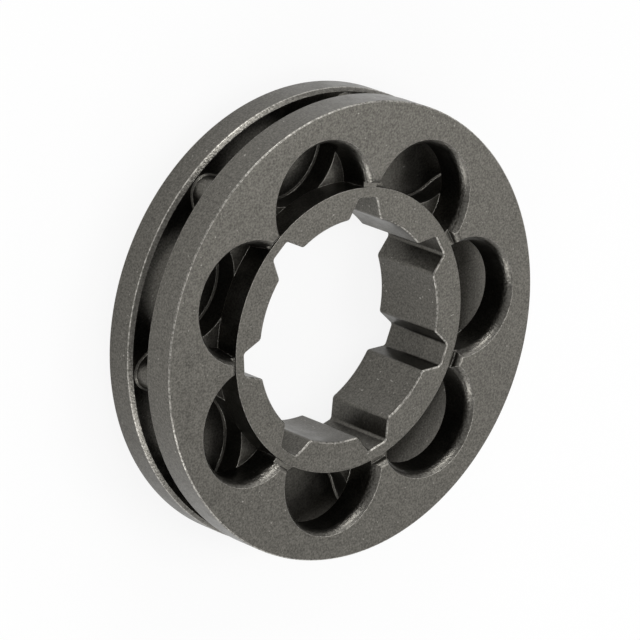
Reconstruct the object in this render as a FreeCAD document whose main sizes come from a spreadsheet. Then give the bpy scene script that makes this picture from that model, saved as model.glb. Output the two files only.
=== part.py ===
import FreeCAD, Part
import math
import os

import Sketcher

# Rim sprocket for a saw chain, cast and turned in one piece. Two flanges with a narrow slot between
# them carry a seven-tooth wheel. The front flange is pierced by seven tapered pockets that open
# into the gullets between the teeth; the back flange is closed. A ring hub stands inside the
# pockets, and its bore has seven round-cornered spline grooves, one under each tooth. The teeth and
# the grooves are turned a little against the pockets.
# Millimetres. The origin is the centre of the back face, +Z points to the front face, and a
# pocket lies on +X.

SIZES = {
    "rim_diameter": (38.4, "outside of both flanges"),
    "back_flange": (2.7, "thickness of the closed flange"),
    "slot_width": (2.1, "room between the flanges for the tangs of the chain"),
    "front_flange": (2.9, "thickness of the pierced flange"),
    "rim_edge_bevel": (0.12, "broken edge of the outside corners"),
    "back_lip_chamfer": (0.3, "lead-in on the closed flange's lip of the slot"),
    "front_lip_chamfer": (0.16, "lead-in on the pierced flange's lip of the slot"),
    "tooth_count": (7, "teeth, gullets and pockets"),
    "wheel_turn": (0.63, "teeth and grooves ahead of the pockets, in degrees"),
    "tooth_neck_width": (4.42, "tooth at its narrow waist"),
    "tooth_tip_radius": (1.4, "rounding of the tooth's tip"),
    "tooth_tip_depth": (0.55, "tooth's tip below the rim"),
    "tooth_foot_bevel": (0.2, "bevelled corner between the teeth and the closed flange"),
    "gullet_centre_depth": (2.8, "centre of the gullet's round floor below the rim"),
    "pocket_mouth_rim": (2.05, "rim left outside a pocket, on the front face"),
    "pocket_mouth_web": (0.6, "tip of the web between two pocket mouths, at the hub's turned ring"),
    "pocket_mouth_bevel": (0.35, "bevelled edge of a pocket's mouth"),
    "pocket_foot_rim": (2.49, "rim left outside a pocket, at the slot"),
    "pocket_foot_web": (1.99, "web between two pockets at the slot, where it joins the hub"),
    "spline_count": (7, "grooves in the bore"),
    "spline_diameter": (22.0, "across the floors of the grooves"),
    "spline_depth": (1.63, "height of the lands between the grooves"),
    "spline_floor_width": (1.9, "groove at its floor, before its corners are rounded"),
    "spline_flank_lean": (22, "groove's flank from the radial line, in degrees"),
    "spline_floor_rounding": (0.55, "radius of the groove's inner corners"),
    "spline_land_rounding": (1.0, "radius of the land's corners"),
    "bore_chamfer": (0.2, "bevel at both ends of the bore"),
    "hub_wall": (0.93, "hub outside the floors of the grooves"),
    "hub_step": (0.6, "hub's face below the front face"),
    "hub_relief": (0.42, "width of the turned ring round the hub's face"),
    "overcut": (1.0, "how far a cut runs past the rim or into the bore"),
}

# Places and radii that follow from the sizes. A pocket's circle touches its rim and leaves its web
# at the hub, the mouth's with its bevel, and a tooth's flank is the arc that joins the gullet to
# the rounded tip.
RULES = {
    "half_pitch": "180 / sizes.tooth_count",
    "groove_angle": "half_pitch + sizes.wheel_turn",
    "rim_radius": "sizes.rim_diameter / 2",
    "cut_radius": "rim_radius + sizes.overcut",
    "slot_top": "sizes.back_flange + sizes.slot_width",
    "front_face": "slot_top + sizes.front_flange",
    "hub_face": "front_face - sizes.hub_step",
    "spline_floor": "sizes.spline_diameter / 2",
    "land_radius": "spline_floor - sizes.spline_depth",
    "spline_start": "land_radius - sizes.overcut",
    "spline_start_width": "sizes.spline_floor_width"
                          " + 2 * (spline_floor - spline_start) * tan(sizes.spline_flank_lean)",
    "hub_radius": "spline_floor + sizes.hub_wall",
    "relief_radius": "hub_radius + sizes.hub_relief",
    "mouth_edge": "rim_radius - sizes.pocket_mouth_rim",
    "mouth_centre": "(mouth_edge ^ 2 - relief_radius ^ 2 - sizes.pocket_mouth_web ^ 2 / 4)"
                    " / (2 * (mouth_edge - relief_radius * cos(half_pitch))"
                    " - sizes.pocket_mouth_web * sin(half_pitch))",
    "mouth_radius": "mouth_edge - mouth_centre - sizes.pocket_mouth_bevel",
    "foot_edge": "rim_radius - sizes.pocket_foot_rim",
    "foot_centre": "(foot_edge ^ 2 - hub_radius ^ 2 - sizes.pocket_foot_web ^ 2 / 4)"
                   " / (2 * (foot_edge - hub_radius * cos(half_pitch))"
                   " - sizes.pocket_foot_web * sin(half_pitch))",
    "foot_radius": "foot_edge - foot_centre",
    "neck_half": "sizes.tooth_neck_width / 2",
    "gullet_centre": "rim_radius - sizes.gullet_centre_depth",
    "gullet_radius": "gullet_centre * sin(half_pitch) - neck_half",
    "tip_edge": "rim_radius - sizes.tooth_tip_depth",
    "tip_centre": "tip_edge - sizes.tooth_tip_radius",
    "tip_rise": "tip_centre - gullet_centre * cos(half_pitch)",
    "tooth_foot_edge": "tip_edge + sizes.tooth_foot_bevel",
    "flank_radius": "(neck_half ^ 2 + tip_rise ^ 2 - sizes.tooth_tip_radius ^ 2)"
                    " / (2 * (neck_half - sizes.tooth_tip_radius))",
}

START, END, CENTRE = range(1, 4)
ORIGIN_POINT = (-1, 1)
RADIAL_AXIS, UPRIGHT_AXIS = range(-1, -3, -1)
TOLERANCE = 1e-4

doc = FreeCAD.newDocument("rim_sprocket")


def make_sheet(name, rows):
    """A sheet with one row for each named value: its name, the value and what it is."""
    sheet = doc.addObject("Spreadsheet::Sheet", name)
    for row, (alias, content, note) in enumerate(rows, start=1):
        sheet.set(f"A{row}", alias)
        sheet.set(f"B{row}", content)
        sheet.set(f"C{row}", note)
        sheet.setAlias(f"B{row}", alias)
    return sheet


make_sheet("sizes", [(alias, str(value), note) for alias, (value, note) in SIZES.items()])
rule_rows = [(alias, "=" + rule, "follows from the sizes") for alias, rule in RULES.items()]
rules = make_sheet("rules", rule_rows)
doc.recompute()
at = {alias: float(rules.get(alias)) for alias in RULES}
at.update({alias: value for alias, (value, note) in SIZES.items()})

body = doc.addObject("PartDesign::Body", "rim_sprocket")
body.Label = "rim_sprocket"


def cell(name):
    """The expression that reads a named value from its sheet."""
    return ("sizes." if name in SIZES else "rules.") + name


def origin_feature(role):
    """The body's own origin plane or axis with this role."""
    return next(part for part in body.Origin.OriginFeatures if part.Role == role)


def new_sketch(name, role="XY_Plane", height=None, turn=None):
    """An empty sketch on one of the body's planes, raised to a named height and turned."""
    sketch = body.newObject("Sketcher::SketchObject", name)
    sketch.AttachmentSupport = [(origin_feature(role), "")]
    sketch.MapMode = "FlatFace"
    if height:
        sketch.setExpression("AttachmentOffset.Base.z", cell(height))
    if turn:
        sketch.setExpression("AttachmentOffset.Rotation.Angle", cell(turn))
    return sketch


def fix(sketch, kind, *where, value=None, factor=1):
    """One constraint. With a value, it holds that named value times the factor."""
    if value is None:
        sketch.addConstraint(Sketcher.Constraint(kind, *where))
        return
    amount = factor * at[value]
    if kind == "Angle":
        amount = math.radians(amount)
    index = sketch.addConstraint(Sketcher.Constraint(kind, *where, amount))
    sketch.setExpression(f"Constraints[{index}]", f"{factor} * {cell(value)}")


def spot(radius, angle=0.0):
    """A sketch point at this distance from the axis and angle from +X."""
    return FreeCAD.Vector(radius * math.cos(angle), radius * math.sin(angle), 0)


def circle(centre, radius):
    """The circle of this radius about a sketch point."""
    return Part.Circle(centre, FreeCAD.Vector(0, 0, 1), radius)


def arc(centre, radius, first, last):
    """The arc that runs anticlockwise about its centre from one point to another."""
    begin = math.atan2(first.y - centre.y, first.x - centre.x)
    finish = math.atan2(last.y - centre.y, last.x - centre.x)
    if finish < begin:
        finish += 2 * math.pi
    return Part.ArcOfCircle(circle(centre, radius), begin, finish)


def add_circle(sketch, radius, centre=None):
    """A circle of a named radius, about the bore's axis or a named distance along +X."""
    place = spot(at[centre]) if centre else spot(0)
    index = sketch.addGeometry(circle(place, at[radius]), False)
    fix(sketch, "Radius", index, value=radius)
    if centre:
        fix(sketch, "PointOnObject", index, CENTRE, RADIAL_AXIS)
        fix(sketch, "DistanceX", *ORIGIN_POINT, index, CENTRE, value=centre)
    else:
        fix(sketch, "Coincident", index, CENTRE, *ORIGIN_POINT)


def add_outline(sketch, corners):
    """A closed outline of straight lines, the first from the first corner to the second."""
    count = len(corners)
    for index, corner in enumerate(corners):
        sketch.addGeometry(Part.LineSegment(corner, corners[(index + 1) % count]), False)
    for index in range(count):
        fix(sketch, "Coincident", index, END, (index + 1) % count, START)


def add_feature(kind, name, **values):
    """The next feature of the body, with its properties set."""
    feature = body.newObject("PartDesign::" + kind, name)
    feature.Refine = False
    for key, value in values.items():
        setattr(feature, key, value)
    body.Tip = feature
    return feature


def repeat(feature, name, count):
    """Copies of a feature, evenly spaced round the bore's axis."""
    doc.recompute()
    pattern = add_feature("PolarPattern", name, Originals=[feature], Angle=360)
    pattern.Axis = (origin_feature("Z_Axis"), [""])
    pattern.setExpression("Occurrences", cell(count))
    doc.recompute()


def dress(kind, name, property_name, value, inner, outer, levels=()):
    """A fillet or chamfer of a named size on the edges that reach between two radii and lie at
    one of the levels, or on the upright edges there if no level is named."""
    base = body.Tip
    heights = [at.get(level, 0) for level in levels]
    edges = []
    for index, edge in enumerate(base.Shape.Edges, start=1):
        level = any(is_level(edge, height) for height in heights)
        picked = level if heights else is_upright(edge)
        if picked and at.get(inner, 0) + TOLERANCE < reach(edge) < at[outer] - TOLERANCE:
            edges.append(f"Edge{index}")
    feature = add_feature(kind, name, Base=(base, edges))
    feature.setExpression(property_name, cell(value))
    doc.recompute()


def is_level(edge, height):
    """Whether the whole edge lies at this height."""
    box = edge.BoundBox
    return max(abs(box.ZMin - height), abs(box.ZMax - height)) < TOLERANCE


def is_upright(edge):
    """Whether the edge runs straight along Z."""
    box = edge.BoundBox
    return max(box.XLength, box.YLength) < TOLERANCE


def reach(edge):
    """The largest distance of the edge's ends and middle from the bore's axis."""
    middle = edge.valueAt((edge.FirstParameter + edge.LastParameter) / 2)
    points = [vertex.Point for vertex in edge.Vertexes] + [middle]
    return max(math.hypot(point.x, point.y) for point in points)


# Turned blank: a thick disc whose front face steps down to the level of the hub's face and, where
# the hub will stand, to the level of the slot
section = new_sketch("blank_section", "XZ_Plane")
CORNERS = [
    (None, None),
    ("rim_radius", None),
    ("rim_radius", "front_face"),
    ("relief_radius", "front_face"),
    ("relief_radius", "hub_face"),
    ("hub_radius", "hub_face"),
    ("hub_radius", "slot_top"),
    (None, "slot_top"),
]
section_points = [FreeCAD.Vector(at.get(radius, 0), at.get(height, 0), 0) for radius, height in CORNERS]
add_outline(section, section_points)
for index, corner in enumerate(CORNERS):
    for kind, name, axis in zip(("DistanceX", "DistanceY"), corner, (UPRIGHT_AXIS, RADIAL_AXIS)):
        if name:
            fix(section, kind, *ORIGIN_POINT, index, START, value=name)
        else:
            fix(section, "PointOnObject", index, START, axis)
blank = add_feature("Revolution", "blank", Profile=section, Angle=360)
blank.ReferenceAxis = (section, ["V_Axis"])
doc.recompute()

# Tapered pockets through the front flange, from the mouth circle down to the smaller foot circle
mouth = new_sketch("pocket_mouth", height="front_face")
add_circle(mouth, "mouth_radius", "mouth_centre")
foot = new_sketch("pocket_foot", height="slot_top")
add_circle(foot, "foot_radius", "foot_centre")
pocket = add_feature("SubtractiveLoft", "pocket", Profile=mouth, Sections=[foot], Ruled=True)
repeat(pocket, "pockets", "tooth_count")

# The hub, which stands inside the pockets
hub_circle = new_sketch("hub_circle", height="slot_top")
add_circle(hub_circle, "hub_radius")
hub = add_feature("Pad", "hub", Profile=hub_circle)
hub.setExpression("Length", "rules.hub_face - rules.slot_top")
doc.recompute()

# One gullet, as high as the slot and open past the rim. Its round floor runs into the bulging
# flanks of both teeth, and these run into the rounded tips.
outline = new_sketch("gullet_outline", height="slot_top", turn="wheel_turn")
half = math.radians(at["half_pitch"])
middle = spot(at["gullet_centre"])
across = {side: FreeCAD.Vector(-math.sin(half), side * math.cos(half), 0) for side in (1, -1)}
necks = {side: middle + across[side] * at["gullet_radius"] for side in (1, -1)}
floor = outline.addGeometry(arc(middle, at["gullet_radius"], necks[1], necks[-1]), False)
fix(outline, "PointOnObject", floor, CENTRE, RADIAL_AXIS)
fix(outline, "DistanceX", *ORIGIN_POINT, floor, CENTRE, value="gullet_centre")
fix(outline, "Radius", floor, value="gullet_radius")
beyond = outline.addGeometry(
    arc(spot(0), at["cut_radius"], spot(at["cut_radius"], -half), spot(at["cut_radius"], half)), False
)
fix(outline, "Coincident", beyond, CENTRE, *ORIGIN_POINT)
fix(outline, "Radius", beyond, value="cut_radius")
for side in (1, -1):
    bulge = middle + across[side] * (at["gullet_radius"] + at["flank_radius"])
    crown = spot(at["tip_centre"], side * half)
    join = bulge + (crown - bulge).normalize() * at["flank_radius"]
    tip = spot(at["tip_edge"], side * half)
    # Going outwards, an arc of the upper side runs from START to END, and one of the lower side back
    inner, outer = (START, END)[::side]
    flank = outline.addGeometry(arc(bulge, at["flank_radius"], *(necks[side], join)[::side]), False)
    rounding = outline.addGeometry(arc(crown, at["tooth_tip_radius"], *(join, tip)[::side]), False)
    tooth_axis = outline.addGeometry(Part.LineSegment(spot(0), spot(at["cut_radius"], side * half)), True)
    edge = outline.addGeometry(Part.LineSegment(tip, spot(at["cut_radius"], side * half)), False)
    fix(outline, "Tangent", floor, inner, flank, inner)
    fix(outline, "Tangent", flank, outer, rounding, inner)
    fix(outline, "Radius", flank, value="flank_radius")
    fix(outline, "Radius", rounding, value="tooth_tip_radius")
    fix(outline, "Coincident", tooth_axis, START, *ORIGIN_POINT)
    fix(outline, "Angle", tooth_axis, value="half_pitch", factor=side)
    fix(outline, "PointOnObject", rounding, CENTRE, tooth_axis)
    fix(outline, "Distance", *ORIGIN_POINT, rounding, CENTRE, value="tip_centre")
    fix(outline, "PointOnObject", rounding, outer, tooth_axis)
    fix(outline, "Coincident", rounding, outer, edge, START)
    fix(outline, "Coincident", edge, END, tooth_axis, END)
    fix(outline, "Coincident", edge, END, beyond, outer)
gullet = add_feature("Pocket", "gullet", Profile=outline)
gullet.setExpression("Length", "sizes.slot_width")
repeat(gullet, "gullets", "tooth_count")

dress("Chamfer", "tooth_feet", "Size", "tooth_foot_bevel", "land_radius", "rim_radius",
      levels=["back_flange"])

# The bore, and one spline groove that stands under a tooth
bore_circle = new_sketch("bore_circle", height="hub_face", turn="groove_angle")
add_circle(bore_circle, "land_radius")
add_feature("Pocket", "bore", Profile=bore_circle, Type="ThroughAll")
doc.recompute()
groove_shape = new_sketch("spline_groove", height="hub_face", turn="groove_angle")
floor_half = at["spline_floor_width"] / 2
start_half = at["spline_start_width"] / 2
groove_points = [
    FreeCAD.Vector(at["spline_floor"], -floor_half, 0),
    FreeCAD.Vector(at["spline_floor"], floor_half, 0),
    FreeCAD.Vector(at["spline_start"], start_half, 0),
    FreeCAD.Vector(at["spline_start"], -start_half, 0),
]
add_outline(groove_shape, groove_points)
GROOVE_FLOOR, GROOVE_START = 0, 2
for line, radius, width in [
    (GROOVE_FLOOR, "spline_floor", "spline_floor_width"),
    (GROOVE_START, "spline_start", "spline_start_width"),
]:
    fix(groove_shape, "Symmetric", line, START, line, END, RADIAL_AXIS)
    fix(groove_shape, "DistanceX", *ORIGIN_POINT, line, START, value=radius)
    fix(groove_shape, "Distance", line, value=width)
groove = add_feature("Pocket", "groove", Profile=groove_shape, Type="ThroughAll")
repeat(groove, "grooves", "spline_count")

dress("Fillet", "groove_corners", "Radius", "spline_floor_rounding", "spline_floor", "hub_radius")
dress("Fillet", "land_corners", "Radius", "spline_land_rounding", "spline_start", "spline_floor")

# Bevelled edges: both ends of the bore, the lips of the slot, the pocket mouths and the rim
dress("Chamfer", "bore_ends", "Size", "bore_chamfer", None, "hub_radius", levels=[None, "hub_face"])
for name, value, level in [
    ("back_lip", "back_lip_chamfer", "back_flange"),
    ("front_lip", "front_lip_chamfer", "slot_top"),
]:
    dress("Chamfer", name, "Size", value, "tooth_foot_edge", "cut_radius", levels=[level])
dress("Chamfer", "pocket_mouths", "Size", "pocket_mouth_bevel", "relief_radius", "rim_radius",
      levels=["front_face"])
dress("Chamfer", "rim_corners", "Size", "rim_edge_bevel", "tip_edge", "cut_radius",
      levels=[None, "front_face"])

doc.recompute()
failed = [part.Name for part in doc.Objects if {"Invalid", "Error"} & set(part.State)]
if failed:
    raise RuntimeError("these objects failed: " + ", ".join(failed))
os.makedirs("parts", exist_ok=True)
shape = body.Shape
if shape.isNull() or not shape.isValid() or len(shape.Solids) != 1:
    raise RuntimeError("the sprocket isn't one valid solid")
shape.exportStep(f"parts/{body.Label}.step")
print(f"{body.Label}: volume {shape.Volume:.1f} mm3, area {shape.Area:.1f} mm2, {len(shape.Faces)} faces")
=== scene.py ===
"""A chainsaw rim sprocket on a white studio floor: the modelled piece, its cast metal and the stage."""

import math

import bmesh
import bpy
from bpy.props import FloatProperty, FloatVectorProperty, IntProperty, PointerProperty
from bpy.types import Operator, Panel, PropertyGroup
from mathutils import Matrix, Vector


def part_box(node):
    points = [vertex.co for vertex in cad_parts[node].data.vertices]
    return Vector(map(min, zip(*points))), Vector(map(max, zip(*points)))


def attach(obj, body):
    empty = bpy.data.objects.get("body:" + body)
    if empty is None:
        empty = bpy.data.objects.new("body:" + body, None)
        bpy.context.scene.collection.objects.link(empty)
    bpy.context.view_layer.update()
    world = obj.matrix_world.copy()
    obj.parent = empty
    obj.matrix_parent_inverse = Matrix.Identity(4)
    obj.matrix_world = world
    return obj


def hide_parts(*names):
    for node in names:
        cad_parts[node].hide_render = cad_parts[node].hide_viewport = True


bl_info = {
    "name": "Rim Sprocket",
    "version": (1, 0, 0),
    "blender": (4, 5, 0),
    "location": "3D View > Sidebar > Sprocket",
    "description": "Models a chainsaw rim sprocket around its packed frame, with a studio stage",
    "category": "Add Mesh",
}

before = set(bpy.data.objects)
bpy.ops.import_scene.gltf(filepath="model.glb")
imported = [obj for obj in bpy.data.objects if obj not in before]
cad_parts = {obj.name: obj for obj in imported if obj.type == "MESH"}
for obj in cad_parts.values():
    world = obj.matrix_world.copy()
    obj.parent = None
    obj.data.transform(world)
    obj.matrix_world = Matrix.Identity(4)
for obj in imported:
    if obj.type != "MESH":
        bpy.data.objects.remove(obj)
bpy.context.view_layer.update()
CAD_LOW, CAD_HIGH = (Vector(corner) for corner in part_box("rim_sprocket"))

MM = 0.001
AXIS_POINT = Vector((0, 0, 0))
CLOCKWISE = (0, 0, -1)
SAME_PLACE = 0.002 * MM

# Facets of the arcs, counts of the round forms' steps, and the turns that count as flat and smooth.
FACET_LENGTH = 0.3 * MM
FACET_TURN = math.radians(9)
PITCH_STEPS = 48
POCKET_STEPS = 112
MOUTH_STEPS = 5
FLAT_TURN = math.radians(0.2)
SMOOTH_TURN = math.radians(28)

# Upward share of a face's normal up to which the face still counts as a wall.
NEARLY_UPRIGHT = 0.1

# Places in the piece's list of metals, for faces that aren't plain cast metal.
RUBBED_EDGE = 1
ROUGH_MOUTH = 2
RUBBED_LIP = 3

# Ranges of the noises, of a normal's share and of the open sky, from one state of the metal to the other.
GRAIN_HOLLOW_TO_CREST = (0.3, 0.7)
MOTTLE_SMOOTH_TO_ROUGH = (0.3, 0.7)
EDGE_FLAT_TO_WORN = (1.0, 0.9)
WEAR_BROKEN_TO_WHOLE = (0.38, 0.62)
SPECK_NONE_TO_BRIGHT = (0.8, 0.88)
# The wall-to-level and sheltered-to-open ranges place the painted shade.
FACE_WALL_TO_LEVEL = (0.3, 0.9)
SKY_SHELTERED_TO_OPEN = (0.35, 0.85)

# What is left of the wear where it is broken, and how bright a speck gets.
WEAR_LEFT = 0.2
SPECK_STRENGTH = 0.5

# How far below the tops of the teeth the painted deep shade is full and starts.
DEEP_FULL = 0.3 * MM
DEEP_START = 0.1 * MM

# Samples of the rounded normal and of the open sky that places the painted shade.
LOOK_SAMPLES = 6

CLIP_START = 10 * MM

# Each lamp's name, azimuth and elevation in degrees, and watts.
LAMPS = (
    ("side_lamp", 90, 10, 1.35),
    ("side_fill", 60, 30, 0.31),
    ("low_lamp", 225, 10, 1.1),
    ("back_lamp", 270, 30, 0.35),
    ("right_lamp", 330, 30, 0.23),
    ("high_lamp", 0, 60, 0.72),
    ("top_lamp", 0, 90, 0.85),
)


def size(name, description, millimetres):
    """A length that a user can change, given in millimetres."""
    return FloatProperty(name=name, description=description, default=millimetres * MM, min=0,
                         unit="LENGTH", precision=5)


class SprocketSizes(PropertyGroup):
    """Sizes of the rim, the wheel between its flanges, the pockets, the hub and the bore."""

    rim_diameter: FloatProperty(
        name="Rim Diameter", description="Outside of both flanges",
        default=CAD_HIGH.x - CAD_LOW.x, unit="LENGTH")
    back_flange: size("Back Flange", "Thickness of the closed flange", 2.7)
    slot_width: size("Slot Width", "Room between the flanges", 2.1)
    front_flange: size("Front Flange", "Thickness of the pierced flange", 2.9)
    rim_bevel: size("Rim Bevel", "Broken edge of the outside corners", 0.09)
    back_lip: size("Back Lip", "Lead-in of the slot on the closed flange", 0.3)
    lip_edge: size("Lip Edge", "Worn line at the outside of that lead-in", 0.06)
    front_lip: size("Front Lip", "Lead-in of the slot on the pierced flange", 0.16)
    tooth_count: IntProperty(
        name="Teeth", description="Teeth, gullets, pockets and grooves", default=7, min=3)
    wheel_turn: FloatProperty(
        name="Wheel Turn", description="Teeth and grooves ahead of the pockets",
        default=math.radians(0.63), subtype="ANGLE")
    tooth_neck: size("Tooth Neck", "Width of a tooth at its waist", 4.42)
    tip_radius: size("Tip Radius", "Rounding of a tooth's tip", 1.4)
    tip_depth: size("Tip Depth", "Tip of a tooth below the rim", 0.55)
    tooth_foot: size("Tooth Foot", "Bevelled corner between the teeth and the closed flange", 0.13)
    gullet_depth: size("Gullet Depth", "Centre of a gullet's floor below the rim", 2.8)
    mouth_centre: size("Mouth Centre", "Centre of a pocket's mouth from the axis", 12.007)
    mouth_radius: size("Mouth Radius", "Outer edge of a pocket's mouth", 5.18)
    mouth_rounding: size("Mouth Rounding", "Rounded edge of a pocket's mouth", 0.4)
    mouth_slope: FloatProperty(
        name="Mouth Slope", description="Slope at which the rounded mouths meet the face",
        default=math.radians(35), min=0, subtype="ANGLE")
    foot_centre: size("Foot Centre", "Centre of a pocket at the slot from the axis", 12.29)
    foot_radius: size("Foot Radius", "Pocket at the slot", 4.42)
    groove_reach: size("Groove Reach", "Floor of a bore groove from the axis", 11.0)
    land_radius: size("Land Radius", "Lands between the bore grooves from the axis", 9.37)
    groove_floor: size("Groove Floor", "Width of a groove's floor before its corners are rounded", 1.9)
    flank_lean: FloatProperty(
        name="Flank Lean", description="Groove's flank from the radial line",
        default=math.radians(22), subtype="ANGLE")
    groove_rounding: size("Groove Rounding", "Radius of a groove's inner corners", 0.35)
    land_rounding: size("Land Rounding", "Radius of a land's corners", 0.4)
    bore_bevel: size("Bore Bevel", "Bevel at both ends of the bore", 0.1)
    hub_radius: size("Hub Radius", "Outside of the hub inside the pockets", 11.93)
    hub_step: size("Hub Step", "Hub's face below the front face", 0.6)
    relief_radius: size("Relief Radius", "Outside of the turned ring round the hub's face", 12.35)
    web_rounding: size("Web Rounding", "Worn-down ends of the webs between the pockets", 0.45)
    web_drop: size("Web Drop", "How far the turned ring lies under the hub's face at the webs", 0.15)


def polar(radius, angle):
    """The point at this distance from the bore's axis and angle from +X."""
    return Vector((radius * math.cos(angle), radius * math.sin(angle), 0))


def first_point(name, place):
    """A mesh of one selected vertex, in edit mode."""
    bpy.ops.object.select_all(action="DESELECT")
    bpy.ops.mesh.primitive_plane_add(size=FACET_LENGTH, location=place)
    piece = bpy.context.active_object
    piece.name = name
    bpy.ops.object.transform_apply(location=True)
    bpy.ops.object.mode_set(mode="EDIT")
    bpy.ops.mesh.select_mode(type="VERT")
    bpy.ops.mesh.select_all(action="SELECT")
    bpy.ops.mesh.merge(type="CENTER")
    return piece


def trace(start, legs):
    """Draws on from the selected vertex: a line to each end, or an arc to it about a centre."""
    here = start
    for end, centre in legs:
        if centre is None:
            bpy.ops.mesh.extrude_vertices_move(TRANSFORM_OT_translate={"value": end - here})
        else:
            first, last = (here - centre).xy, (end - centre).xy
            angle = last.angle_signed(first)
            steps = max(abs(angle) / FACET_TURN, abs(angle) * first.length / FACET_LENGTH)
            bpy.ops.mesh.spin(steps=math.ceil(steps), angle=angle, center=centre, axis=CLOCKWISE)
        here = end


def copy_round(count):
    """Copies all of the mesh in edit mode evenly round the bore's axis."""
    bpy.ops.mesh.select_all(action="SELECT")
    turn = 2 * math.pi * (count - 1) / count
    bpy.ops.mesh.spin(steps=count - 1, dupli=True, angle=turn, center=AXIS_POINT, axis=CLOCKWISE)
    bpy.ops.mesh.select_all(action="SELECT")
    bpy.ops.mesh.remove_doubles(threshold=SAME_PLACE)


def close_prism(height, turn):
    """Fills the outline in edit mode, raises it to a solid and turns that about the bore's axis."""
    bpy.ops.mesh.select_all(action="SELECT")
    bpy.ops.mesh.edge_face_add()
    bpy.ops.mesh.extrude_region_move(TRANSFORM_OT_translate={"value": (0, 0, height)})
    bpy.ops.mesh.select_all(action="SELECT")
    bpy.ops.transform.rotate(value=-turn, orient_axis="Z", center_override=AXIS_POINT)
    bpy.ops.mesh.normals_make_consistent(inside=False)
    bpy.ops.object.mode_set(mode="OBJECT")


def disc(name, radius, low, high, steps):
    """A plain round disc on the bore's axis."""
    bpy.ops.object.select_all(action="DESELECT")
    middle = (0, 0, (low + high) / 2)
    bpy.ops.mesh.primitive_cylinder_add(vertices=steps, radius=radius, depth=high - low, location=middle)
    piece = bpy.context.active_object
    piece.name = name
    bpy.ops.object.transform_apply(location=True)
    return piece


def bevel_ring(piece, heights, inner, outer, width, material=0, segments=1):
    """Bevels the sharp level edges at these heights, between two distances from the axis."""
    bpy.ops.object.mode_set(mode="EDIT")
    bpy.ops.mesh.select_mode(type="EDGE")
    bpy.ops.mesh.select_all(action="DESELECT")
    mesh = bmesh.from_edit_mesh(piece.data)
    for edge in mesh.edges:
        ends = [vertex.co for vertex in edge.verts]
        level = any(all(abs(end.z - height) < SAME_PLACE for end in ends) for height in heights)
        near = all(inner - SAME_PLACE < end.xy.length < outer + SAME_PLACE for end in ends)
        edge.select_set(level and near and edge.calc_face_angle(0) > SMOOTH_TURN)
    bmesh.update_edit_mesh(piece.data)
    bpy.ops.mesh.bevel(offset=width, segments=segments, affect="EDGES", material=material)
    bpy.ops.object.mode_set(mode="OBJECT")


def combine(piece, tool, operation):
    """Joins a second solid to the piece or cuts it away, and removes it."""
    bpy.ops.object.select_all(action="DESELECT")
    bpy.context.view_layer.objects.active = piece
    piece.select_set(True)
    modifier = piece.modifiers.new(tool.name, "BOOLEAN")
    modifier.object = tool
    modifier.operation = operation
    modifier.solver = "EXACT"
    bpy.ops.object.modifier_apply(modifier=modifier.name)
    bpy.data.objects.remove(tool)


def toothed_wheel(sizes):
    """The wheel between the flanges, one pitch drawn from tip to tip and copied round."""
    half = math.pi / sizes.tooth_count
    rim = sizes.rim_diameter / 2
    level = Vector((0, 0, sizes.back_flange))
    middle = polar(rim - sizes.gullet_depth, 0)
    neck_half = sizes.tooth_neck / 2
    gullet = middle.x * math.sin(half) - neck_half
    tip_edge = rim - sizes.tip_depth
    crown_reach = tip_edge - sizes.tip_radius
    rise = crown_reach - middle.x * math.cos(half)
    flank = (neck_half ** 2 + rise ** 2 - sizes.tip_radius ** 2) / (2 * (neck_half - sizes.tip_radius))
    across = polar(1, half + math.pi / 2)
    bulge = middle + across * (gullet + flank)
    crown = polar(crown_reach, half)
    upper = [
        (middle + across * gullet, middle),
        (bulge + (crown - bulge).normalized() * flank, bulge),
        (polar(tip_edge, half), crown),
    ]
    lower = [Vector((end.x, -end.y, 0)) for end, centre in upper]
    start = lower[2]
    legs = [(lower[1], Vector((crown.x, -crown.y, 0))), (lower[0], Vector((bulge.x, -bulge.y, 0)))] + upper
    wheel = first_point("wheel", start + level)
    trace(start + level, [(end + level, centre + level) for end, centre in legs])
    copy_round(sizes.tooth_count)
    close_prism(sizes.slot_width, sizes.wheel_turn)
    return wheel


def bore_cutter(sizes, thickness):
    """The bore with its grooves, one groove and one land drawn and copied round."""
    half = math.pi / sizes.tooth_count
    lean = sizes.flank_lean
    floor_half = sizes.groove_floor / 2
    into_groove = Vector((-math.sin(lean), -math.cos(lean), 0))
    floor_end = Vector((sizes.groove_reach,
                        floor_half - sizes.groove_rounding * (1 - math.sin(lean)) / math.cos(lean), 0))
    corner = floor_end - Vector((sizes.groove_rounding, 0, 0))
    shoulder_reach = sizes.land_radius + sizes.land_rounding
    offset = sizes.land_rounding + math.sin(lean) * sizes.groove_reach + math.cos(lean) * floor_half
    shoulder_angle = math.asin(offset / shoulder_reach) - lean
    shoulder = polar(shoulder_reach, shoulder_angle)
    to_next = Matrix.Rotation(2 * half, 3, "Z")

    def next_side(point):
        """The same point on the other side of the land."""
        return to_next @ Vector((point.x, -point.y, 0))

    flank_low = corner - into_groove * sizes.groove_rounding
    flank_high = shoulder + into_groove * sizes.land_rounding
    land_start = polar(sizes.land_radius, shoulder_angle)
    legs = [
        (floor_end, None),
        (flank_low, corner),
        (flank_high, None),
        (land_start, shoulder),
        (next_side(land_start), AXIS_POINT),
        (next_side(flank_high), next_side(shoulder)),
        (next_side(flank_low), None),
        (next_side(floor_end), next_side(corner)),
    ]
    start = Vector((floor_end.x, -floor_end.y, 0))
    cutter = first_point("bore", start)
    trace(start, legs)
    copy_round(sizes.tooth_count)
    bpy.ops.transform.translate(value=(0, 0, -thickness / 2))
    close_prism(2 * thickness, half + sizes.wheel_turn)
    return cutter


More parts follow.
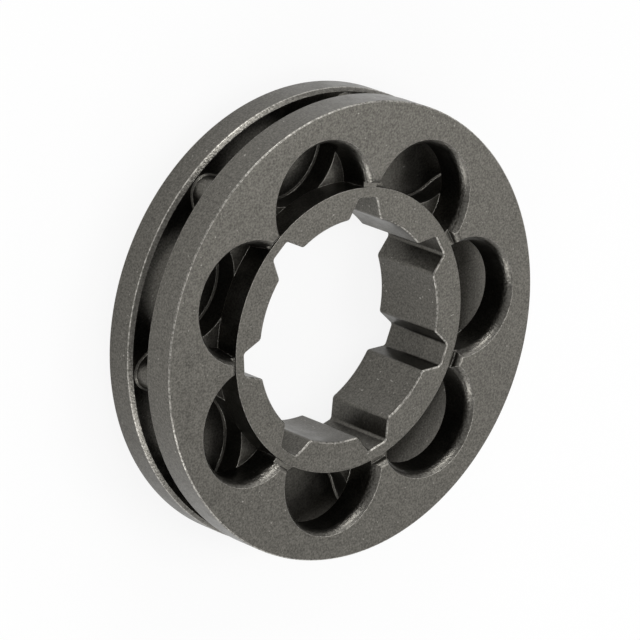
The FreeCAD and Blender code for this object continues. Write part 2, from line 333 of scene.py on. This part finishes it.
def mouth_curve(sizes):
    """Radius and depth of the arc from a pocket's wall to the slope at which it meets the face."""
    curve = sizes.mouth_rounding / (1 - math.sin(sizes.mouth_slope))
    return curve, curve * math.cos(sizes.mouth_slope)


def pocket_cutter(sizes, slot_top):
    """The tapered pockets with their rounded mouths: one raised section by section, and copied."""
    front = slot_top + sizes.front_flange
    wall_radius = sizes.mouth_radius - sizes.mouth_rounding
    curve, depth = mouth_curve(sizes)

    def section(height):
        """Height, centre and radius of the pocket's wall."""
        share = (height - slot_top) / sizes.front_flange
        return (height, sizes.foot_centre + (sizes.mouth_centre - sizes.foot_centre) * share,
                sizes.foot_radius + (wall_radius - sizes.foot_radius) * share)

    mouth = [section(front - depth)]
    for step in range(1, MOUTH_STEPS):
        angle = (math.pi / 2 - sizes.mouth_slope) * step / MOUTH_STEPS
        mouth.append((front - depth + curve * math.sin(angle), sizes.mouth_centre,
                      wall_radius + curve * (1 - math.cos(angle))))
    mouth.append((front + SAME_PLACE, sizes.mouth_centre, sizes.mouth_radius))
    mouth.append((front + depth, sizes.mouth_centre, sizes.mouth_radius))
    height, centre, radius = section(slot_top - depth)
    bpy.ops.object.select_all(action="DESELECT")
    bpy.ops.mesh.primitive_circle_add(vertices=POCKET_STEPS, radius=radius, fill_type="NGON",
                                      location=(centre, 0, height))
    cutter = bpy.context.active_object
    cutter.name = "pockets"
    bpy.ops.object.transform_apply(location=True)
    bpy.ops.object.mode_set(mode="EDIT")
    bpy.ops.mesh.select_all(action="SELECT")
    for next_height, next_centre, next_radius in mouth:
        step = (next_centre - centre, 0, next_height - height)
        bpy.ops.mesh.extrude_region_move(TRANSFORM_OT_translate={"value": step})
        grow = next_radius / radius
        bpy.ops.transform.resize(value=(grow, grow, 1), center_override=(next_centre, 0, next_height))
        height, centre, radius = next_height, next_centre, next_radius
    bpy.ops.mesh.select_all(action="SELECT")
    bpy.ops.mesh.normals_make_consistent(inside=False)
    copy_round(sizes.tooth_count)
    bpy.ops.object.mode_set(mode="OBJECT")
    return cutter


def split_by_pockets(piece, count):
    """Cuts every level face along planes through the pockets, so that no face has a hole."""
    bpy.ops.object.mode_set(mode="EDIT")
    bpy.ops.mesh.select_mode(type="EDGE")
    for index in range(count):
        bpy.ops.mesh.select_all(action="SELECT")
        across = polar(1, 2 * math.pi * index / count + math.pi / 2)
        bpy.ops.mesh.bisect(plane_co=AXIS_POINT, plane_no=across)
        bpy.ops.mesh.mark_seam()
    bpy.ops.mesh.select_all(action="SELECT")
    bpy.ops.mesh.dissolve_limited(angle_limit=FLAT_TURN, delimit={"SEAM"})
    bpy.ops.object.mode_set(mode="OBJECT")


def closed_flange(sizes, steps, metals):
    """The back flange with its broken corner and the worn lip of the slot."""
    rim = sizes.rim_diameter / 2
    flange = disc("back_flange", rim, 0, sizes.back_flange, steps)
    for metal in metals:
        flange.data.materials.append(metal)
    bevel_ring(flange, [sizes.back_flange], rim, rim, sizes.back_lip, material=RUBBED_LIP)
    lip_foot = sizes.back_flange - sizes.back_lip
    bevel_ring(flange, [lip_foot], rim, rim, sizes.lip_edge, material=RUBBED_EDGE)
    bevel_ring(flange, [0], rim, rim, sizes.rim_bevel, material=RUBBED_EDGE)
    return flange


def pierced_flange(sizes, slot_top, front, steps, metals):
    """The front flange, not yet pierced, turned down in the middle for the hub."""
    rim = sizes.rim_diameter / 2
    relief = sizes.relief_radius
    flange = disc("sprocket", rim, slot_top, front, steps)
    for metal in metals:
        flange.data.materials.append(metal)
    bpy.ops.object.mode_set(mode="EDIT")
    bpy.ops.mesh.select_mode(type="FACE")
    bpy.ops.mesh.select_all(action="DESELECT")
    mesh = bmesh.from_edit_mesh(flange.data)
    for face in mesh.faces:
        face.select_set(face.normal.z > math.cos(SMOOTH_TURN))
    bmesh.update_edit_mesh(flange.data)
    bpy.ops.mesh.inset(thickness=rim - relief)
    turned_down = (0, 0, -sizes.hub_step - sizes.web_drop)
    bpy.ops.mesh.extrude_region_move(TRANSFORM_OT_translate={"value": turned_down})
    bpy.ops.object.mode_set(mode="OBJECT")
    bevel_ring(flange, [front], rim, rim, sizes.rim_bevel, material=RUBBED_EDGE)
    bevel_ring(flange, [slot_top], rim, rim, sizes.front_lip)
    bevel_ring(flange, [front], relief, relief, sizes.web_rounding, segments=MOUTH_STEPS)
    return flange


def roughen_mouths(piece, sizes, front):
    """Gives the pockets' mouths and the worn ends of the webs their rougher metal."""
    depth = mouth_curve(sizes)[1]
    outer = sizes.rim_diameter / 2 - sizes.rim_bevel
    for face in piece.data.polygons:
        sloping = NEARLY_UPRIGHT < face.normal.z < math.cos(SMOOTH_TURN / 2)
        beside = sizes.relief_radius < face.center.xy.length < outer
        if sloping and beside and face.center.z > front - depth:
            face.material_index = ROUGH_MOUTH


class SPROCKET_OT_rim(Operator):
    """Model the whole sprocket: two flanges, the toothed wheel between them, the hub and the bore"""

    bl_idname = "sprocket.rim"
    bl_label = "Add Rim Sprocket"

    def execute(self, context):
        sizes = context.scene.sprocket_sizes
        finish = context.scene.sprocket_metal
        steps = PITCH_STEPS * sizes.tooth_count
        slot_top = sizes.back_flange + sizes.slot_width
        front = slot_top + sizes.front_flange
        hub_face = front - sizes.hub_step
        coarse = finish.edge_roughness
        metals = [cast_metal("cast_metal", finish, 0.0, 1.0, slot_top),
                  cast_metal("rubbed_edge", finish, 1.0, 1.0, slot_top),
                  cast_metal("rough_mouth", finish, finish.mouth_wear, coarse, slot_top),
                  cast_metal("rubbed_lip", finish, finish.lip_wear, coarse, slot_top)]

        back = closed_flange(sizes, steps, metals)
        piece = pierced_flange(sizes, slot_top, front, steps, metals)
        combine(piece, pocket_cutter(sizes, slot_top), "DIFFERENCE")
        combine(piece, disc("hub", sizes.hub_radius, slot_top, hub_face, steps), "UNION")
        combine(piece, toothed_wheel(sizes), "UNION")
        combine(piece, back, "UNION")
        combine(piece, bore_cutter(sizes, front), "DIFFERENCE")
        split_by_pockets(piece, sizes.tooth_count)
        bore_end = (sizes.groove_reach + sizes.hub_radius) / 2
        bevel_ring(piece, [0, hub_face], 0, bore_end, sizes.bore_bevel, material=RUBBED_EDGE)
        tip_edge = sizes.rim_diameter / 2 - sizes.tip_depth
        bevel_ring(piece, [sizes.back_flange], sizes.land_radius, tip_edge, sizes.tooth_foot)
        roughen_mouths(piece, sizes, front)
        bpy.ops.object.shade_smooth_by_angle(angle=SMOOTH_TURN)
        even = piece.modifiers.new("even_faces", "WEIGHTED_NORMAL")
        even.keep_sharp = True
        even.weight = 100
        bpy.ops.object.modifier_apply(modifier=even.name)

        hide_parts("rim_sprocket")
        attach(piece, "root")
        return {"FINISHED"}


class MetalFinish(PropertyGroup):
    """Colours, roughness and grain of the cast metal, and the painted shade on it."""

    hollow_colour: FloatVectorProperty(
        name="Hollow Colour", description="Metal in the hollows of the grain",
        default=(0.084, 0.080, 0.071), subtype="COLOR", min=0, max=1)
    crest_colour: FloatVectorProperty(
        name="Crest Colour", description="Metal on the crests of the grain",
        default=(0.174, 0.166, 0.147), subtype="COLOR", min=0, max=1)
    worn_colour: FloatVectorProperty(
        name="Worn Colour", description="Bare metal along worn edges and on specks",
        default=(0.56, 0.54, 0.495), subtype="COLOR", min=0, max=1)
    smoothest: FloatProperty(name="Smoothest", description="Lowest roughness", default=0.28, min=0, max=1)
    roughest: FloatProperty(name="Roughest", description="Highest roughness", default=0.38, min=0, max=1)
    grain: size("Grain", "Spacing of the fine grain", 0.17)
    grain_relief: size("Grain Relief", "Height of the fine grain", 0.009)
    mottle: size("Mottle", "Spacing of the broad mottling", 1.3)
    speck: size("Speck", "Spacing of the bright specks", 0.22)
    edge_round: size("Edge Round", "Reach of the wear from an edge", 0.07)
    # Painted shade, which also stands for a dark skin: the share of the colour left on sheltered walls,
    # and the further share left below the tops of the teeth.
    wall_shade: FloatProperty(
        name="Wall Shade", description="Share of the colour that the dark skin leaves on sheltered walls",
        default=0.6, min=0, max=1)
    deep_shade: FloatProperty(
        name="Deep Shade", description="Further share of the colour left below the tops of the teeth",
        default=0.6, min=0, max=1)
    mouth_wear: FloatProperty(
        name="Mouth Wear", description="Share of bare metal on the pockets' mouths",
        default=0.2, min=0, max=1)
    lip_wear: FloatProperty(
        name="Lip Wear", description="Share of bare metal on the closed flange's lip",
        default=0.15, min=0, max=1)
    edge_roughness: FloatProperty(
        name="Edge Roughness", description="How many times higher the grain is on the mouths and the lip",
        default=4.5, min=0)
    # Reach of the occlusion that places the painted shade.
    painted_shade_reach: size("Skin Reach", "How far round a place is looked at for what shelters it", 8.0)


def put(tree, kind, inputs, **settings):
    """Adds a node, sets or links its inputs and gives the node back."""
    node = tree.nodes.new("ShaderNode" + kind)
    for name, value in settings.items():
        setattr(node, name, value)
    for name, value in inputs.items():
        if isinstance(value, bpy.types.NodeSocket):
            tree.links.new(value, node.inputs[name])
        else:
            node.inputs[name].default_value = value
    return node


def noise(tree, place, spacing, detail):
    """A noise value with features of about this spacing."""
    return put(tree, "TexNoise", {"Vector": place, "Scale": 1 / spacing, "Detail": detail}).outputs["Fac"]


def ramp(tree, value, low, high, start=0.0, end=1.0):
    """The value between low and high, spread from start to end."""
    ends = {"Value": value, "From Min": low, "From Max": high, "To Min": start, "To Max": end}
    return put(tree, "MapRange", ends).outputs["Result"]


def compute(tree, operation, first, second):
    """The result of one sum on two values."""
    return put(tree, "Math", {0: first, 1: second}, operation=operation).outputs[0]


def blend(tree, share, first, second):
    """A mix of two colours."""
    inputs = {"Factor": share, "A": first, "B": second}
    node = tree.nodes.new("ShaderNodeMix")
    node.data_type = "RGBA"
    for name, value in inputs.items():
        socket = next(s for s in node.inputs if s.name == name and s.enabled)
        if isinstance(value, bpy.types.NodeSocket):
            tree.links.new(value, socket)
        else:
            socket.default_value = value
    return next(s for s in node.outputs if s.enabled)


def cast_metal(name, finish, rubbed, coarse, slot_top):
    """The cast metal: fine grain, broad mottling, worn edges and specks, and painted shade that darkens
    the colour on sheltered walls and below the tops of the teeth, which also stands for a darker skin
    where nothing rubs; rubbed is 1 for an edge that is bare metal nearly all along, and coarse is how
    many times the grain stands higher."""
    material = bpy.data.materials.new(name)
    material.use_nodes = True
    tree = material.node_tree
    shader = tree.nodes["Principled BSDF"]
    shader.inputs["Metallic"].default_value = 1
    place = put(tree, "TexCoord", {}).outputs["Object"]
    grain = noise(tree, place, finish.grain, 2)
    mottle = noise(tree, place, finish.mottle, 2)
    rounded = put(tree, "Bevel", {"Radius": finish.edge_round}, samples=LOOK_SAMPLES).outputs["Normal"]
    facing = put(tree, "NewGeometry", {}).outputs["Normal"]
    agreement = put(tree, "VectorMath", {0: rounded, 1: facing}, operation="DOT_PRODUCT").outputs["Value"]
    edge = ramp(tree, agreement, *EDGE_FLAT_TO_WORN)
    edge = compute(tree, "MAXIMUM", edge, rubbed)
    broken = ramp(tree, noise(tree, place, finish.speck, 2), *WEAR_BROKEN_TO_WHOLE, start=WEAR_LEFT)
    wear = compute(tree, "MULTIPLY", edge, broken)
    specks = ramp(tree, noise(tree, place, finish.speck, 0), *SPECK_NONE_TO_BRIGHT, end=SPECK_STRENGTH)
    worn = compute(tree, "MAXIMUM", wear, specks)
    crests = ramp(tree, grain, *GRAIN_HOLLOW_TO_CREST)
    body = blend(tree, crests, (*finish.hollow_colour, 1), (*finish.crest_colour, 1))
    body = blend(tree, worn, body, (*finish.worn_colour, 1))
    # Painted shade, which also stands for a dark skin: the colour is darkened where little open sky is
    # seen, more on walls than on level faces, and more below the tops of the teeth.
    open_sky = put(tree, "AmbientOcclusion", {"Distance": finish.painted_shade_reach},
                   samples=LOOK_SAMPLES, only_local=True)
    upright = put(tree, "SeparateXYZ", {"Vector": facing}).outputs["Z"]
    level = put(tree, "Math", {0: upright}, operation="ABSOLUTE").outputs[0]
    shade = ramp(tree, level, *FACE_WALL_TO_LEVEL, start=finish.wall_shade)
    height = put(tree, "SeparateXYZ", {"Vector": place}).outputs["Z"]
    deep = ramp(tree, height, slot_top - DEEP_FULL, slot_top - DEEP_START, start=finish.deep_shade)
    shade = compute(tree, "MULTIPLY", shade, deep)
    share_left_by_painted_shade = ramp(tree, open_sky.outputs["AO"], *SKY_SHELTERED_TO_OPEN, start=shade)
    colour_with_painted_shade = put(tree, "VectorMath", {0: body, "Scale": share_left_by_painted_shade}, operation="SCALE").outputs["Vector"]
    tree.links.new(colour_with_painted_shade, shader.inputs["Base Color"])
    roughness = ramp(tree, mottle, *MOTTLE_SMOOTH_TO_ROUGH, start=finish.smoothest, end=finish.roughest)
    tree.links.new(roughness, shader.inputs["Roughness"])
    relief = put(tree, "Bump", {"Distance": finish.grain_relief * coarse, "Height": grain,
                                "Normal": rounded})
    tree.links.new(relief.outputs["Normal"], shader.inputs["Normal"])
    return material


class StudioSettings(PropertyGroup):
    """Camera, lamps and floor."""

    lens: FloatProperty(name="Lens", description="Focal length on a 36 mm sensor", default=293.55)
    viewpoint: FloatVectorProperty(
        name="Viewpoint", description="Where the camera stands",
        default=(-0.254124, 0.144353, 0.312574), subtype="TRANSLATION", unit="LENGTH")
    sight_right: FloatVectorProperty(
        name="Right", description="Direction that shows as right in the picture",
        default=(0.76590, -0.02795, 0.64236), subtype="DIRECTION")
    sight_up: FloatVectorProperty(
        name="Up", description="Direction that shows as up in the picture",
        default=(0.23830, 0.94024, -0.24322), subtype="DIRECTION")
    world_level: FloatProperty(
        name="World Level", description="Strength of the even light", default=0.4, min=0)
    lamp_level: FloatProperty(
        name="Lamp Level", description="Strength of all the lamps", default=1, min=0)
    lamp_distance: FloatProperty(
        name="Lamp Distance", description="From the middle of the floor to a lamp", default=0.6,
        unit="LENGTH")
    lamp_size: FloatProperty(name="Lamp Size", description="Across a lamp", default=0.3, unit="LENGTH")
    floor_white: FloatProperty(
        name="Floor White", description="Share of plain white in the floor as the camera sees it",
        default=0.85, min=0, max=1)
    floor_mirrored: FloatProperty(
        name="Floor Mirrored", description="Share of plain white in the floor as the metal mirrors it",
        default=0.5, min=0, max=1)
    floor_colour: FloatVectorProperty(
        name="Floor Colour", description="Colour of the floor", default=(0.95, 0.95, 0.95),
        subtype="COLOR", min=0, max=1)
    floor_size: FloatProperty(name="Floor Size", description="Across the floor", default=4, unit="LENGTH")


def studio_floor(studio):
    """A plain pale floor, part of which is seen as white whatever light falls on it."""
    material = bpy.data.materials.new("studio_floor")
    material.use_nodes = True
    tree = material.node_tree
    shader = tree.nodes["Principled BSDF"]
    shader.inputs["Base Color"].default_value = (*studio.floor_colour, 1)
    shader.inputs["Roughness"].default_value = 1
    shader.inputs["Specular IOR Level"].default_value = 0
    white = put(tree, "Emission", {"Strength": 1.0}).outputs["Emission"]
    path = put(tree, "LightPath", {}).outputs
    mirrored = compute(tree, "MAXIMUM", path["Is Glossy Ray"], path["Is Transmission Ray"])
    mirrored = compute(tree, "MULTIPLY", mirrored, studio.floor_mirrored)
    seen = compute(tree, "MULTIPLY", path["Is Camera Ray"], studio.floor_white)
    share = compute(tree, "MAXIMUM", seen, mirrored)
    mixed = put(tree, "MixShader", {0: share, 1: shader.outputs["BSDF"], 2: white})
    tree.links.new(mixed.outputs["Shader"], tree.nodes["Material Output"].inputs["Surface"])
    return material


class STAGE_OT_studio(Operator):
    """Add the floor, the lamps and the camera"""

    bl_idname = "stage.studio"
    bl_label = "Add Studio"

    def execute(self, context):
        studio = context.scene.studio
        bpy.ops.mesh.primitive_plane_add(size=studio.floor_size)
        floor = context.active_object
        floor.name = "floor"
        floor.data.materials.append(studio_floor(studio))
        for name, azimuth, elevation, watts in LAMPS:
            across = polar(1, math.radians(azimuth)) * math.cos(math.radians(elevation))
            towards = across + Vector((0, 0, math.sin(math.radians(elevation))))
            bpy.ops.object.light_add(
                type="AREA", location=towards * studio.lamp_distance,
                rotation=(-towards).to_track_quat("-Z", "Y").to_euler())
            lamp = context.active_object
            lamp.name = name
            lamp.data.shape = "DISK"
            lamp.data.size = studio.lamp_size
            lamp.data.energy = watts * studio.lamp_level
            lamp.visible_camera = False
        bpy.ops.object.camera_add(location=studio.viewpoint)
        camera = context.active_object
        right, up = Vector(studio.sight_right).normalized(), Vector(studio.sight_up).normalized()
        back = right.cross(up)
        camera.matrix_world = Matrix((
            (right.x, up.x, back.x, studio.viewpoint[0]),
            (right.y, up.y, back.y, studio.viewpoint[1]),
            (right.z, up.z, back.z, studio.viewpoint[2]),
            (0, 0, 0, 1)))
        camera.data.lens = studio.lens
        camera.data.clip_start = CLIP_START
        context.scene.camera = camera
        world = bpy.data.worlds.new("studio")
        context.scene.world = world
        world.use_nodes = True
        background = world.node_tree.nodes["Background"]
        background.inputs["Color"].default_value = (1, 1, 1, 1)
        background.inputs["Strength"].default_value = studio.world_level
        return {"FINISHED"}


class SPROCKET_PT_panel(Panel):
    """The sprocket and its studio, each with what can be changed"""

    bl_idname = "SPROCKET_PT_panel"
    bl_label = "Rim Sprocket"
    bl_space_type = "VIEW_3D"
    bl_region_type = "UI"
    bl_category = "Sprocket"

    def draw(self, context):
        scene = context.scene
        for operator, groups in ((SPROCKET_OT_rim, (scene.sprocket_sizes, scene.sprocket_metal)),
                                 (STAGE_OT_studio, (scene.studio,))):
            self.layout.operator(operator.bl_idname)
            for group in groups:
                for name in group.__annotations__:
                    self.layout.prop(group, name)


CLASSES = (SprocketSizes, MetalFinish, StudioSettings, SPROCKET_OT_rim, STAGE_OT_studio, SPROCKET_PT_panel)


def register():
    for cls in CLASSES:
        bpy.utils.register_class(cls)
    bpy.types.Scene.sprocket_sizes = PointerProperty(type=SprocketSizes)
    bpy.types.Scene.sprocket_metal = PointerProperty(type=MetalFinish)
    bpy.types.Scene.studio = PointerProperty(type=StudioSettings)


def unregister():
    del bpy.types.Scene.studio
    del bpy.types.Scene.sprocket_metal
    del bpy.types.Scene.sprocket_sizes
    for cls in reversed(CLASSES):
        bpy.utils.unregister_class(cls)


def main():
    register()
    bpy.context.scene.view_settings.view_transform = "Standard"
    bpy.ops.sprocket.rim()
    bpy.ops.object.select_all(action="DESELECT")
    bpy.ops.stage.studio()


if __name__ == "__main__":
    main()
